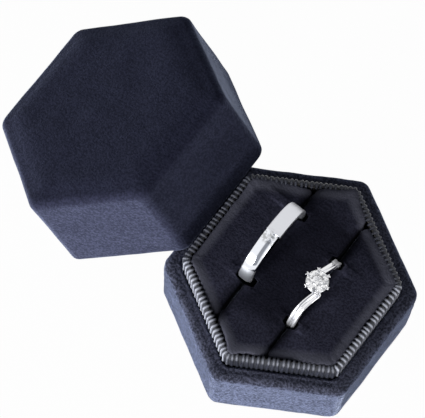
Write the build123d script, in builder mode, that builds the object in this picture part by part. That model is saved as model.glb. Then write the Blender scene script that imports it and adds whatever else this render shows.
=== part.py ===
"""Hexagonal velvet ring box: a cushioned base, a loose lid that leans on it, and two rings.

Millimetres.  The origin is the bottom centre of the base and +Z is up.  +X points from the
side of the base where the lid leans to the opposite side, and +Y runs along the ring slots.
"""

import os
from math import cos, radians, sin

from build123d import *

os.makedirs("parts", exist_ok=True)

# ---- driving dimensions -------------------------------------------------------------------

# outline of the box
flat_width = 50.0  # across the flats, over the velvet
corner_radius = 2.7  # rounding of the six upright corners
base_height = 26.0  # table to ledge
lid_height = 23.6  # rim to top of the lid
velvet = 0.8  # pile and backing together

# base
foot_thickness = 0.6
foot_inset = 1.8  # from the outer face to the edge of the foot sheet
base_floor = 2.0
ledge_width = 3.5  # outer face to the crest of the ribbed trim
ledge_radius = 2.0
hem_radius = 1.0  # where the velvet turns under the base
hem_width = 6.0  # velvet glued under the floor
turn_in = 5.0  # velvet folded over the ledge and down inside
fit_gap = 0.1  # between pieces pushed into one another

# inner collar and its ribbed trim
collar_rise = 6.3  # crest of the trim above the ledge
collar_board = 0.8
collar_corner = 2.2
tape = 0.3  # backing of the trim
rib_radius = 0.42
rib_proud = 0.3  # how far a rib stands out of the tape
rib_count = 130
trim_drop = 3.0  # how far the trim reaches below the ledge

# cushions
cushion_depth = 12.3
cushion_board_thickness = 1.0
cushion_edge = 2.0  # rounding along the upper edges
cushion_crown = 0.5  # middle of a cushion above its long edges
slit = 0.8  # between neighbouring cushions
ring_clearance = 0.3

# wedding band
band_x = -7.4
band_y = 2.2
band_rise = 0.0  # centre above the cushions' top
band_outer_radius = 10.25
band_thickness = 1.4
band_width = 3.65
band_bevel = 0.35
polish_step = 0.12  # the mirror-polished stretch is cut this much lower
polish_narrowing = 0.35  # and is this much narrower on one side
polish_from = 92.0  # angles about the band's axis, from +Y upwards
polish_to = 260.0

# solitaire ring
solitaire_x = 6.6
solitaire_y = -0.8
solitaire_rise = -2.4
solitaire_outer_radius = 9.2
shank_thickness = 1.2
shank_width = 1.9
bypass = 1.9  # sideways swing of each arm where it passes the head
bypass_from = 55.0  # degrees from the top of the ring where the swing starts
arm_end = 6.0  # degrees from the top of the ring where each arm stops
stone_radius = 2.5
table_radius = 1.4
crown_height = 0.8
girdle_height = 0.15
pavilion_depth = 2.1
stone_lift = 0.7  # culet above the shank
prong_radius = 0.32
prong_count = 6
prong_hook = 0.35  # prong tip above the girdle
basket_radius = 1.15
basket_thickness = 0.5

# lid
lid_wall = 1.4
lid_top = 1.4
lid_edge_radius = 2.5
lid_foam = 1.2
rim_radius = 0.8
rim_inner_radius = 0.3
liner = 0.8
liner_start = 4.0  # above the rim, where the turned-in velvet ends
inner_pad = 1.4

# where the lid rests: its near rim on the ledge, its far rim on the table
lean_clearance = 0.54  # near rim's outer edge to the ribs
lid_shift = 5.05  # along the base's side
lean_gap = 0.15
table_gap = 0.02

# ---- places worked out from the driving dimensions ----------------------------------------

apothem = flat_width / 2
shell_apothem = apothem - velvet
shell_corner = corner_radius - velvet
floor_top = foot_thickness + base_floor

trim_apothem = apothem - ledge_width
rib_centre_apothem = trim_apothem - rib_radius
tape_apothem = trim_apothem - rib_proud
collar_apothem = tape_apothem - tape
collar_inner = collar_apothem - collar_board
trim_top = base_height + collar_rise
tape_top = trim_top - rib_proud
collar_top = tape_top - tape
ledge_inner = trim_apothem + fit_gap
shell_inner = ledge_inner + velvet
inner_corner = collar_corner + fit_gap

cushion_apothem = collar_inner - fit_gap
cushion_top = trim_top
cushion_floor = cushion_top - cushion_depth
board_floor = cushion_floor - cushion_board_thickness
cushion_corner = collar_corner - tape - rib_proud - collar_board / 2

band_z = cushion_top + band_rise
solitaire_z = cushion_top + solitaire_rise
shank_radius = solitaire_outer_radius - shank_thickness / 2
culet_z = solitaire_z + solitaire_outer_radius + stone_lift
girdle_z = culet_z + pavilion_depth


def leaning_rim(angle):
    """X and Z of the rim's centre when the lid, tilted by angle, touches table and ledge."""
    rim_z = rim_radius + (apothem - rim_radius) * sin(angle) - rim_radius * cos(angle) + table_gap
    edge_x = -apothem + ledge_radius
    edge_z = base_height - ledge_radius
    reach = edge_z * cos(angle) - edge_x * sin(angle) + ledge_radius + lean_gap
    return (rim_z * cos(angle) - reach) / sin(angle), rim_z


# The steeper the lid, the nearer its rim comes to the ribs: halve the range of angles until
# the rim stops just short of them.
flattest = radians(5)
tilt = radians(85)
for halving in range(60):
    middle = (flattest + tilt) / 2
    if leaning_rim(middle)[0] + apothem * cos(middle) < -trim_apothem - lean_clearance:
        flattest = middle
    else:
        tilt = middle
lid_x, lid_z = leaning_rim(tilt)
lid_rim = Plane(
    origin=(lid_x, lid_shift, lid_z),
    x_dir=(cos(tilt), 0, sin(tilt)),
    z_dir=(-sin(tilt), 0, cos(tilt)),
)
lid_core_top = lid_height - velvet
lid_shell_top = lid_core_top - lid_foam
lid_ceiling = lid_shell_top - lid_top
lid_shell_inner = shell_apothem - lid_wall
lid_inner = lid_shell_inner - liner
lid_inner_corner = max(corner_radius - (apothem - lid_inner), 0.6)


# ---- shared outlines ----------------------------------------------------------------------


def hexagon(across, corner):
    """A hexagon with rounded corners and two sides square to X; across is its apothem."""
    with BuildSketch() as outline:
        RegularPolygon(across, 6, major_radius=False, rotation=30)
        fillet(outline.vertices(), corner)
    return outline.sketch


def ring_pocket(centre, radius, width):
    """The room that a ring needs in the cushions, open upwards so that it can be pulled out."""
    side = Plane.YZ.offset(centre.X - width / 2)
    with BuildPart() as pocket:
        with BuildSketch(side):
            with Locations((centre.Y, centre.Z)):
                Circle(radius)
            with Locations((centre.Y, centre.Z + radius)):
                Rectangle(2 * radius, 2 * radius)
        extrude(amount=width)
    return pocket.part


# ---- base ---------------------------------------------------------------------------------

# A card sheet covers the turned-under velvet and is what the box stands on.
with BuildPart() as base_foot_sheet:
    with BuildSketch():
        add(hexagon(apothem - foot_inset, corner_radius))
    extrude(amount=foot_thickness)
base_foot_sheet.part.label = "base_foot_sheet"
export_step(base_foot_sheet.part, "parts/base_foot_sheet.step")

# The stiff cup.  Its underside is stepped so that the velvet's hem lies flush.
with BuildPart() as base_shell:
    with BuildSketch(Plane.XY.offset(foot_thickness)):
        add(hexagon(shell_apothem, shell_corner))
    extrude(amount=base_height - velvet - foot_thickness)
    fillet(base_shell.faces().sort_by(Axis.Z)[-1].edges(), ledge_radius - velvet)
    with BuildSketch(Plane.XY.offset(floor_top)):
        add(hexagon(shell_inner, inner_corner))
    extrude(amount=base_height, mode=Mode.SUBTRACT)
    with BuildSketch(Plane.XY.offset(foot_thickness)):
        add(hexagon(apothem, corner_radius))
        add(hexagon(apothem - hem_width, corner_radius), mode=Mode.SUBTRACT)
    extrude(amount=velvet, mode=Mode.SUBTRACT)
base_shell.part.label = "base_shell"
export_step(base_shell.part, "parts/base_shell.step")

# One velvet wrap covers the walls, the hem, the ledge and the first stretch inside.
with BuildPart() as base_velvet:
    with BuildSketch(Plane.XY.offset(foot_thickness)):
        add(hexagon(apothem, corner_radius))
    extrude(amount=base_height - foot_thickness)
    fillet(base_velvet.faces().sort_by(Axis.Z)[-1].edges(), ledge_radius)
    fillet(base_velvet.faces().sort_by(Axis.Z)[0].edges(), hem_radius)
    with BuildSketch(Plane.XY.offset(floor_top)):
        add(hexagon(ledge_inner, inner_corner))
    extrude(amount=base_height, mode=Mode.SUBTRACT)
    with BuildSketch(Plane.XY.offset(floor_top)):
        add(hexagon(shell_inner, inner_corner))
    extrude(amount=base_height - velvet - turn_in - floor_top, mode=Mode.SUBTRACT)
    with BuildSketch(Plane.XY.offset(foot_thickness)):
        add(hexagon(apothem - hem_width, corner_radius))
    extrude(amount=velvet, mode=Mode.SUBTRACT)
    add(base_shell.part, mode=Mode.SUBTRACT)
base_velvet.part.label = "base_velvet"
export_step(base_velvet.part, "parts/base_velvet.step")

# A board collar stands on the floor of the cup and rises above the ledge.
with BuildPart() as collar:
    with BuildSketch(Plane.XY.offset(floor_top)):
        add(hexagon(collar_apothem, collar_corner))
    extrude(amount=collar_top - floor_top)
    fillet(collar.faces().sort_by(Axis.Z)[-1].edges(), collar_board / 2)
    with BuildSketch(Plane.XY.offset(floor_top)):
        add(hexagon(collar_inner, cushion_corner))
    extrude(amount=collar_top - floor_top, mode=Mode.SUBTRACT)
collar.part.label = "collar"
export_step(collar.part, "parts/collar.step")

# One corded rib: up the collar's wall, over its edge and in to the cushions.
rib_bottom = base_height - trim_drop
rib_bend = rib_radius + tape
rib_axis_z = trim_top - rib_radius
rib_reach = rib_centre_apothem - collar_inner
with BuildPart() as rib:
    with BuildLine(Plane.XZ) as rib_route:
        Line((0, rib_bottom), (0, rib_axis_z - rib_bend))
        TangentArc((0, rib_axis_z - rib_bend), (-rib_bend, rib_axis_z), tangent=(0, 1))
        Line((-rib_bend, rib_axis_z), (-rib_reach, rib_axis_z))
    with BuildSketch(Plane.XY.offset(rib_bottom)):
        Circle(rib_radius)
    sweep()

rib_line = hexagon(rib_centre_apothem, collar_corner).wire()
rib_places = []
for number in range(rib_count):
    place = (number + 0.5) / rib_count
    along = rib_line % place
    outward = Vector(along.Y, -along.X, 0)
    if outward.dot(rib_line @ place) < 0:
        outward = -outward
    rib_places.append(Location(Plane(origin=rib_line @ place, x_dir=outward, z_dir=(0, 0, 1))))

# The trim is a tape glued round the collar with the ribs woven into it.
with BuildPart() as ribbed_trim:
    with BuildSketch(Plane.XY.offset(rib_bottom)):
        add(hexagon(tape_apothem, collar_corner))
    extrude(amount=tape_top - rib_bottom)
    fillet(ribbed_trim.faces().sort_by(Axis.Z)[-1].edges(), tape + collar_board / 2)
    with Locations(*rib_places):
        add(rib.part)
    with BuildSketch(Plane.XY.offset(rib_bottom)):
        add(hexagon(collar_inner, cushion_corner))
    extrude(amount=base_height, mode=Mode.SUBTRACT)
    add(collar.part, mode=Mode.SUBTRACT)
ribbed_trim.part.label = "ribbed_trim"
export_step(ribbed_trim.part, "parts/ribbed_trim.step")

# ---- cushions -----------------------------------------------------------------------------

# A foam block and a board carry the three cushions.
with BuildPart() as base_foam:
    with BuildSketch(Plane.XY.offset(floor_top)):
        add(hexagon(cushion_apothem, cushion_corner))
    extrude(amount=board_floor - floor_top)
base_foam.part.label = "base_foam"
export_step(base_foam.part, "parts/base_foam.step")

with BuildPart() as cushion_board:
    with BuildSketch(Plane.XY.offset(board_floor)):
        add(hexagon(cushion_apothem, cushion_corner))
    extrude(amount=cushion_board_thickness)
cushion_board.part.label = "cushion_board"
export_step(cushion_board.part, "parts/cushion_board.step")


def cushion(from_x, to_x, cover):
    """One crowned cushion between two X values, with its skin of thickness cover taken off."""
    left = from_x + cover
    right = to_x - cover
    top = cushion_top - cover
    shoulder = top - cushion_crown
    with BuildPart() as block:
        with BuildSketch(Plane.XY.offset(cushion_floor)):
            add(hexagon(cushion_apothem - cover, cushion_corner))
        extrude(amount=top - cushion_floor)
        fillet(block.faces().sort_by(Axis.Z)[-1].edges(), cushion_edge - cover)
        # seen along the slits, the top is a shallow arch with rounded shoulders
        with BuildSketch(Plane.XZ) as arch:
            with BuildLine():
                Polyline((left, shoulder), (left, cushion_floor), (right, cushion_floor), (right, shoulder))
                ThreePointArc((right, shoulder), ((left + right) / 2, top), (left, shoulder))
            make_face()
            fillet(arch.vertices().sort_by(Axis.Y)[-2:], cushion_edge - cover)
        extrude(amount=flat_width, both=True, mode=Mode.INTERSECT)
        band_room = band_outer_radius + ring_clearance + cover
        band_slot = band_width + 2 * (ring_clearance + cover)
        add(ring_pocket(band_centre, band_room, band_slot), mode=Mode.SUBTRACT)
        shank_room = solitaire_outer_radius + ring_clearance + cover
        shank_slot = shank_width + 2 * (ring_clearance + cover)
        add(ring_pocket(solitaire_centre, shank_room, shank_slot), mode=Mode.SUBTRACT)
    return block.part


band_centre = Vector(band_x, band_y, band_z)
solitaire_centre = Vector(solitaire_x, solitaire_y, solitaire_z)
# The outer two run on past the hexagon's sides, whose own rounding ends them.
past_side = cushion_apothem + cushion_edge
cushion_spans = {
    "left": (-past_side, band_x - slit / 2),
    "middle": (band_x + slit / 2, solitaire_x - slit / 2),
    "right": (solitaire_x + slit / 2, past_side),
}
for side, (from_x, to_x) in cushion_spans.items():
    with BuildPart() as cushion_core:
        add(cushion(from_x, to_x, velvet))
    cushion_core.part.label = f"cushion_core_{side}"
    export_step(cushion_core.part, f"parts/cushion_core_{side}.step")
    with BuildPart() as cushion_cover:
        add(cushion(from_x, to_x, 0))
        add(cushion_core.part, mode=Mode.SUBTRACT)
    cushion_cover.part.label = f"cushion_cover_{side}"
    export_step(cushion_cover.part, f"parts/cushion_cover_{side}.step")

# ---- wedding band -------------------------------------------------------------------------

band_inner_radius = band_outer_radius - band_thickness
band_axis = Axis(band_centre, (1, 0, 0))
# sketch X runs outwards from the band's axis, sketch Y along it
band_section = Plane(origin=band_centre, x_dir=(0, 1, 0), z_dir=(0, 0, -1))
polish_start = Plane(
    origin=band_centre,
    x_dir=(0, cos(radians(polish_from)), sin(radians(polish_from))),
    z_dir=(0, sin(radians(polish_from)), -cos(radians(polish_from))),
)
with BuildPart() as wedding_band:
    with BuildSketch(band_section):
        with Locations((band_inner_radius + band_thickness / 2, 0)):
            Rectangle(band_thickness, band_width)
    revolve(axis=band_axis)
    chamfer(wedding_band.edges().filter_by(GeomType.CIRCLE), band_bevel)
    # the mirror-polished stretch is a step lower, and narrower on its +X side
    with BuildSketch(polish_start):
        with Locations((band_outer_radius + band_thickness / 2 - polish_step, 0)):
            Rectangle(band_thickness, 2 * band_width)
        with Locations((band_outer_radius, band_width - polish_narrowing)):
            Rectangle(4 * band_thickness, band_width)
    revolve(axis=band_axis, revolution_arc=polish_to - polish_from, mode=Mode.SUBTRACT)
wedding_band.part.label = "wedding_band"
export_step(wedding_band.part, "parts/wedding_band.step")

# ---- solitaire ring -----------------------------------------------------------------------


def shank_point(turn):
    """A point of the shank's centre line; turn is in degrees from its lowest point, to +Y."""
    from_top = 180 - abs(turn)
    swing = bypass * (1 - sin(radians(90 * min(from_top / bypass_from, 1))))
    return solitaire_centre + Vector(
        -swing if turn > 0 else swing,
        shank_radius * sin(radians(turn)),
        -shank_radius * cos(radians(turn)),
    )


# The shank is open at the top: its two arms pass the head on opposite sides.
arm_sweep = 180 - arm_end
shank_steps = 24
with BuildPart() as solitaire_shank:
    with BuildLine() as shank_line:
        Spline([shank_point(arm_sweep * (2 * step / shank_steps - 1)) for step in range(shank_steps + 1)])
    shank_start = Plane(shank_line.line @ 0, x_dir=(1, 0, 0), z_dir=shank_line.line % 0)
    with BuildSketch(shank_start):
        Ellipse(shank_width / 2, shank_thickness / 2)
    sweep(path=shank_line.line)
solitaire_shank.part.label = "solitaire_shank"
export_step(solitaire_shank.part, "parts/solitaire_shank.step")

# A round brilliant, point down.
stone_seat = Plane(origin=(solitaire_x, solitaire_y, 0), x_dir=(1, 0, 0), z_dir=(0, -1, 0))
crown_z = girdle_z + girdle_height
table_z = crown_z + crown_height
with BuildPart() as solitaire_stone:
    with BuildSketch(stone_seat):
        with BuildLine():
            Polyline(
                (0, culet_z),
                (stone_radius, girdle_z),
                (stone_radius, crown_z),
                (table_radius, table_z),
                (0, table_z),
                close=True,
            )
        make_face()
    revolve(axis=Axis((solitaire_x, solitaire_y, 0), (0, 0, 1)))
solitaire_stone.part.label = "solitaire_stone"
export_step(solitaire_stone.part, "parts/solitaire_stone.step")

# The head: a collet on the arms and a crown of prongs hooked over the stone's girdle.
head_z = solitaire_z + shank_radius
prong_x = stone_radius + prong_radius / 2
with BuildPart() as solitaire_head:
    with BuildSketch(Plane.XY.offset(head_z)):
        with Locations((solitaire_x, solitaire_y)):
            Circle(basket_radius)
    extrude(amount=culet_z - head_z + basket_thickness)
    with BuildPart(mode=Mode.PRIVATE) as prong:
        with BuildLine() as prong_line:
            Polyline(
                (basket_radius - prong_radius, 0, head_z + prong_radius),
                (prong_x, 0, girdle_z),
                (prong_x, 0, crown_z + prong_hook),
            )
        with BuildSketch(Plane(prong_line.line @ 0, z_dir=prong_line.line % 0)):
            Circle(prong_radius)
        sweep(path=prong_line.line, transition=Transition.ROUND)
        fillet(prong.faces().sort_by(Axis.Z)[-1].edges(), prong_radius / 2)
    with Locations((solitaire_x, solitaire_y)):
        with PolarLocations(0, prong_count):
            add(prong.part)
    add(solitaire_stone.part, mode=Mode.SUBTRACT)
    add(solitaire_shank.part, mode=Mode.SUBTRACT)
solitaire_head.part.label = "solitaire_head"
export_step(solitaire_head.part, "parts/solitaire_head.step")

# ---- lid, drawn from its rim plane as it leans --------------------------------------------

lid_up = Axis(lid_rim.origin, lid_rim.z_dir)
with BuildPart() as lid_core:
    with BuildSketch(lid_rim.offset(velvet)):
        add(hexagon(shell_apothem, shell_corner))
    extrude(amount=lid_core_top - velvet)
    fillet(lid_core.faces().sort_by(lid_up)[-1].edges(), lid_edge_radius - velvet)

# Stiff shell, open at the rim.
with BuildPart() as lid_shell:
    add(lid_core.part)
    split(bisect_by=lid_rim.offset(lid_shell_top), keep=Keep.BOTTOM)
    with BuildSketch(lid_rim):
        add(hexagon(lid_shell_inner, lid_inner_corner))
    extrude(amount=lid_ceiling, mode=Mode.SUBTRACT)
lid_shell.part.label = "lid_shell"
export_step(lid_shell.part, "parts/lid_shell.step")

# A sheet of foam under the velvet softens the top.
with BuildPart() as lid_top_foam:
    add(lid_core.part)
    split(bisect_by=lid_rim.offset(lid_shell_top), keep=Keep.TOP)
lid_top_foam.part.label = "lid_top_foam"
export_step(lid_top_foam.part, "parts/lid_top_foam.step")

# The velvet wrap goes over the top, down the walls and round the rim to the lining.
with BuildPart() as lid_velvet:
    with BuildSketch(lid_rim):
        add(hexagon(apothem, corner_radius))
    extrude(amount=lid_height)
    fillet(lid_velvet.faces().sort_by(lid_up)[-1].edges(), lid_edge_radius)
    fillet(lid_velvet.faces().sort_by(lid_up)[0].edges(), rim_radius)
    with BuildSketch(lid_rim):
        add(hexagon(lid_inner, lid_inner_corner))
    extrude(amount=lid_ceiling, mode=Mode.SUBTRACT)
    fillet(lid_velvet.faces().sort_by(lid_up)[0].inner_wires()[0].edges(), rim_inner_radius)
    with BuildSketch(lid_rim.offset(liner_start)):
        add(hexagon(lid_shell_inner, lid_inner_corner))
    extrude(amount=lid_ceiling - liner_start, mode=Mode.SUBTRACT)
    add(lid_core.part, mode=Mode.SUBTRACT)
lid_velvet.part.label = "lid_velvet"
export_step(lid_velvet.part, "parts/lid_velvet.step")

# The lining is a sleeve above the turned-in velvet.
with BuildPart() as lid_liner:
    with BuildSketch(lid_rim.offset(liner_start)):
        add(hexagon(lid_shell_inner, lid_inner_corner))
        add(hexagon(lid_inner, lid_inner_corner), mode=Mode.SUBTRACT)
    extrude(amount=lid_ceiling - liner_start)
lid_liner.part.label = "lid_liner"
export_step(lid_liner.part, "parts/lid_liner.step")

# A thin pad inside the top faces the rings.
with BuildPart() as lid_inner_pad:
    with BuildSketch(lid_rim.offset(lid_ceiling - inner_pad)):
        add(hexagon(lid_inner, lid_inner_corner))
    extrude(amount=inner_pad)
    fillet(lid_inner_pad.faces().sort_by(lid_up)[0].edges(), inner_pad / 2)
lid_inner_pad.part.label = "lid_inner_pad"
export_step(lid_inner_pad.part, "parts/lid_inner_pad.step")
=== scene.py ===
# %% [markdown]
# # A hexagonal velvet ring box
#
# The box is two loose velvet-covered halves. The base holds three velvet cushions inside a
# ribbed collar, and two rings stand in the slots between them. The lid leans on the base.
# The stiff pieces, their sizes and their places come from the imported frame. Here every piece
# that shows gets its real surface: wrapped velvet, corded tape, stuffed cushions, metal, stone.

# %% Load the frame
import math
import random

import bmesh
import bpy
from mathutils import Matrix, Vector


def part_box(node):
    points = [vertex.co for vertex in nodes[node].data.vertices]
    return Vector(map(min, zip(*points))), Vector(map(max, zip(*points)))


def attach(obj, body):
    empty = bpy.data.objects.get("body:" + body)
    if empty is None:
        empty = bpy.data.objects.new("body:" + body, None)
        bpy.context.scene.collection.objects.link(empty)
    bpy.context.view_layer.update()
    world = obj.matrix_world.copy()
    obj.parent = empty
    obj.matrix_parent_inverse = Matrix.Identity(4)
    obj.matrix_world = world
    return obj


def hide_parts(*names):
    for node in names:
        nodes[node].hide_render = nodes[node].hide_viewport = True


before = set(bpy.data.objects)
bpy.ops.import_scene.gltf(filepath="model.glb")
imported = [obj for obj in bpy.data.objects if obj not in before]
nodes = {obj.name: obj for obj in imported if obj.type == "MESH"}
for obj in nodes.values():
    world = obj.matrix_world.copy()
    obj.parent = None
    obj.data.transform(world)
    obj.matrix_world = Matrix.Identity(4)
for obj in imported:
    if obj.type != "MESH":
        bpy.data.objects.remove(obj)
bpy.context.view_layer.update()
MM = 0.001
random.seed(7)

# %% [markdown]
# ## The camera
#
# The camera comes first. It is a long lens
# a good way off, looking steeply down, and turned a little about its own axis.

# %% Camera
camera_azimuth = math.radians(32.35)
camera_elevation = math.radians(74.09)
camera_roll = math.radians(5.0)
camera_distance = 602.5 * MM
look_at = Vector((-27.56, 8.40, 0)) * MM
focal_pixels = 2567.7
picture_width = 425
sensor_width = 36.0

level = math.cos(camera_elevation)
towards_camera = Vector(
    (math.sin(camera_azimuth) * level, -math.cos(camera_azimuth) * level, math.sin(camera_elevation))
)
camera_turn = towards_camera.to_track_quat("Z", "Y").to_matrix().to_4x4()
camera_data = bpy.data.cameras.new("camera")
camera_data.sensor_width = sensor_width
camera_data.lens = focal_pixels / picture_width * sensor_width
camera_data.clip_start = 0.01
camera = bpy.data.objects.new("camera", camera_data)
bpy.context.collection.objects.link(camera)
camera.matrix_world = (
    Matrix.Translation(look_at + towards_camera * camera_distance)
    @ camera_turn
    @ Matrix.Rotation(camera_roll, 4, "Z")
)
bpy.context.scene.camera = camera
print("lens", round(camera_data.lens, 1), "mm")

# %% [markdown]
# ## Measuring the frame
#
# The base stands square to the axes, so its box says how wide and high it is. The lid leans,
# so it is measured along its own axes, drawn standing at the origin and then moved there.

# %% Measures
pad_faces = nodes["lid_inner_pad"].data.polygons
pad_normal = max(pad_faces, key=lambda face: face.area).normal
tilt = math.atan2(abs(pad_normal.x), abs(pad_normal.z))
lid_up = Vector((-math.sin(tilt), 0, math.cos(tilt)))
lid_across = Vector((math.cos(tilt), 0, math.sin(tilt)))
y_axis = Vector((0, 1, 0))


def span(node, direction):
    """How far a node reaches along a direction: (lowest, highest), in metres."""
    reach = [direction.dot(vertex.co) for vertex in nodes[node].data.vertices]
    return min(reach), max(reach)


base_low, base_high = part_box("base_velvet")
apothem = (base_high[0] - base_low[0]) / 2
ledge_z = base_high[2]
foot_z = base_low[2]
trim_low, trim_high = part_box("ribbed_trim")
trim_apothem = (trim_high[0] - trim_low[0]) / 2
lid_rim, lid_top = span("lid_velvet", lid_up)
lid_west, lid_east = span("lid_velvet", lid_across)
lid_height = lid_top - lid_rim
lid_place = Matrix.Translation(
    lid_up * lid_rim + lid_across * (lid_west + lid_east) / 2 + y_axis * sum(span("lid_velvet", y_axis)) / 2
) @ Matrix.Rotation(-tilt, 4, "Y")
print("apothem", round(apothem / MM, 2), "ledge", round(ledge_z / MM, 2), "lid", round(lid_height / MM, 2))

# %% [markdown]
# ## Small helpers for modelling
#
# Operators act on what is selected, and a freshly loaded frame is selected all over. So each
# piece starts by clearing the selection, and in edit mode its parts are picked by a test. The
# finished piece keeps its place in its mesh and its object at the origin, as the nodes do.

# %% Helpers: select


def clear_selection():
    """Leave edit mode and deselect everything."""
    if bpy.context.object and bpy.context.object.mode != "OBJECT":
        bpy.ops.object.mode_set(mode="OBJECT")
    bpy.ops.object.select_all(action="DESELECT")


def select_only(*pieces):
    """Select these pieces and nothing else, and make the first one active."""
    clear_selection()
    for piece in pieces:
        piece.select_set(True)
    bpy.context.view_layer.objects.active = pieces[0]


def adopt(name):
    """Name the primitive that was just added and open it in edit mode."""
    piece = bpy.context.object
    piece.name = piece.data.name = name
    bpy.ops.object.mode_set(mode="EDIT")
    return piece


def pick(piece, kind, test=lambda element: True):
    """In edit mode, select only the verts, edges or faces for which the test holds."""
    bpy.ops.mesh.select_mode(type=kind[:-1].upper())
    bpy.ops.mesh.select_all(action="DESELECT")
    mesh = bmesh.from_edit_mesh(piece.data)
    for element in getattr(mesh, kind):
        if test(element):
            element.select_set(True)
    mesh.select_flush_mode()
    bmesh.update_edit_mesh(piece.data)


def select_all():
    bpy.ops.mesh.select_all(action="SELECT")


# %% Helpers: finish


def point_outwards():
    """In edit mode, turn all the faces outwards."""
    select_all()
    bpy.ops.mesh.normals_make_consistent(inside=False)


def put(piece, place=None):
    """Leave edit mode, move the mesh to its place and make that place part of the mesh."""
    select_only(piece)
    if place is not None:
        piece.matrix_world = place @ piece.matrix_world
    bpy.ops.object.transform_apply(location=True, rotation=True, scale=True)
    return piece


def add_modifier(piece, kind, **settings):
    modifier = piece.modifiers.new(kind.lower(), kind)
    for key, value in settings.items():
        setattr(modifier, key, value)
    return modifier


def apply_modifiers(piece):
    select_only(piece)
    for modifier in list(piece.modifiers):
        bpy.ops.object.modifier_apply(modifier=modifier.name)


def refine(piece):
    """Round the whole piece off once more, for good."""
    add_modifier(piece, "SUBSURF", levels=1, render_levels=1)
    apply_modifiers(piece)


def smooth(piece, angle=60):
    """Shade the piece smoothly, but not over edges sharper than the angle in degrees."""
    select_only(piece)
    bpy.ops.object.shade_smooth_by_angle(angle=math.radians(angle))


def dress(piece, material, angle=60):
    """Smooth the finished piece and give it its material."""
    smooth(piece, angle)
    piece.data.materials.append(material)
    print(piece.name, "has", len(piece.data.polygons), "faces")


# %% [markdown]
# ## Lofting a hexagon
#
# Walls, ledges and lid all follow one outline: a hexagon with rounded corners. So a wrapped
# surface can be drawn as one loop that is extruded, scaled and lifted again and again. Each
# row is the distance from the axis to a flat side, and a height.

# %% Hexagon loft


def arc_rows(centre, radius, start, end, steps):
    """Rows on an arc in the section: centre is (apothem, height), angles in degrees from outwards."""
    rows = []
    for step in range(steps + 1):
        angle = math.radians(start + (end - start) * step / steps)
        rows.append((centre[0] + radius * math.cos(angle), centre[1] + radius * math.sin(angle)))
    return rows


def straight_rows(start, end, spacing):
    """Rows between two rows, evenly spaced, without the two ends."""
    count = max(int(math.dist(start, end) / spacing), 1)
    return [
        tuple(a + (b - a) * step / count for a, b in zip(start, end))
        for step in range(1, count)
    ]


def sunk_rows(start, steps):
    """Rows that lie inwards of a start and below it, by pairs of numbers in mm."""
    return [(start[0] - inwards * MM, start[1] - down * MM) for inwards, down in steps]


def hexagon_loft(name, rows, corner, spacing):
    """Extrude a rounded hexagon through the rows; corner is its rounding at the widest row."""
    widest = max(row[0] for row in rows)
    first, height = rows[0]
    clear_selection()
    bpy.ops.mesh.primitive_circle_add(
        vertices=6, radius=first / math.cos(math.pi / 6), fill_type="NGON", location=(0, 0, height)
    )
    piece = adopt(name)
    select_all()
    offset = corner * first / widest * math.tan(math.pi / 6)
    bpy.ops.mesh.bevel(offset=offset, segments=6, affect="VERTICES")
    pick(piece, "edges", lambda edge: edge.calc_length() > first / 2)
    bpy.ops.mesh.subdivide(number_cuts=max(int(first / spacing), 1))
    pick(piece, "faces")
    bpy.ops.mesh.delete(type="ONLY_FACE")
    bpy.ops.mesh.select_mode(type="EDGE")
    select_all()
    for (before, low), (after, high) in zip(rows, rows[1:]):
        bpy.ops.mesh.extrude_edges_move(TRANSFORM_OT_translate={"value": (0, 0, high - low)})
        factor = after / before
        bpy.ops.transform.resize(value=(factor, factor, 1), center_override=(0, 0, high))
    return piece


# %% [markdown]
# ## Shader maths as Python
#
# A material is a formula over the surface. Wrapping a socket in a small class lets that
# formula be written with + - *, and each operator adds its Math node. Every other node comes
# from one method that takes its settings first and its inputs after.

# %% Numbers on a surface


class Value:
    """A socket that carries a number, with Python's operators."""

    def __init__(self, shader, socket):
        self.shader = shader
        self.socket = socket

    def __add__(self, other):
        return self.shader.maths("ADD", self, other)

    __radd__ = __add__

    def __sub__(self, other):
        return self.shader.maths("SUBTRACT", self, other)

    def __rsub__(self, other):
        return self.shader.maths("SUBTRACT", other, self)

    def __mul__(self, other):
        return self.shader.maths("MULTIPLY", self, other)

    __rmul__ = __mul__

    def __pow__(self, other):
        return self.shader.maths("POWER", self, other)

    def __abs__(self):
        return self.shader.maths("ABSOLUTE", self)

    def highest(self, *others):
        """The highest of this number and the others."""
        result = self
        for other in others:
            result = self.shader.maths("MAXIMUM", result, other)
        return result

    def above(self, edge, softness):
        """0 below the edge and 1 above it, with a soft step between."""
        settings = {"interpolation_type": "SMOOTHSTEP"}
        inputs = {"Value": self, "From Min": edge - softness, "From Max": edge + softness}
        return self.shader.node("ShaderNodeMapRange", settings, inputs)

    def between(self, low, high, softness):
        """1 between two edges and 0 outside them."""
        return self.above(low, softness) * (1 - self.above(high, softness))


# %% Materials out of nodes


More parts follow.
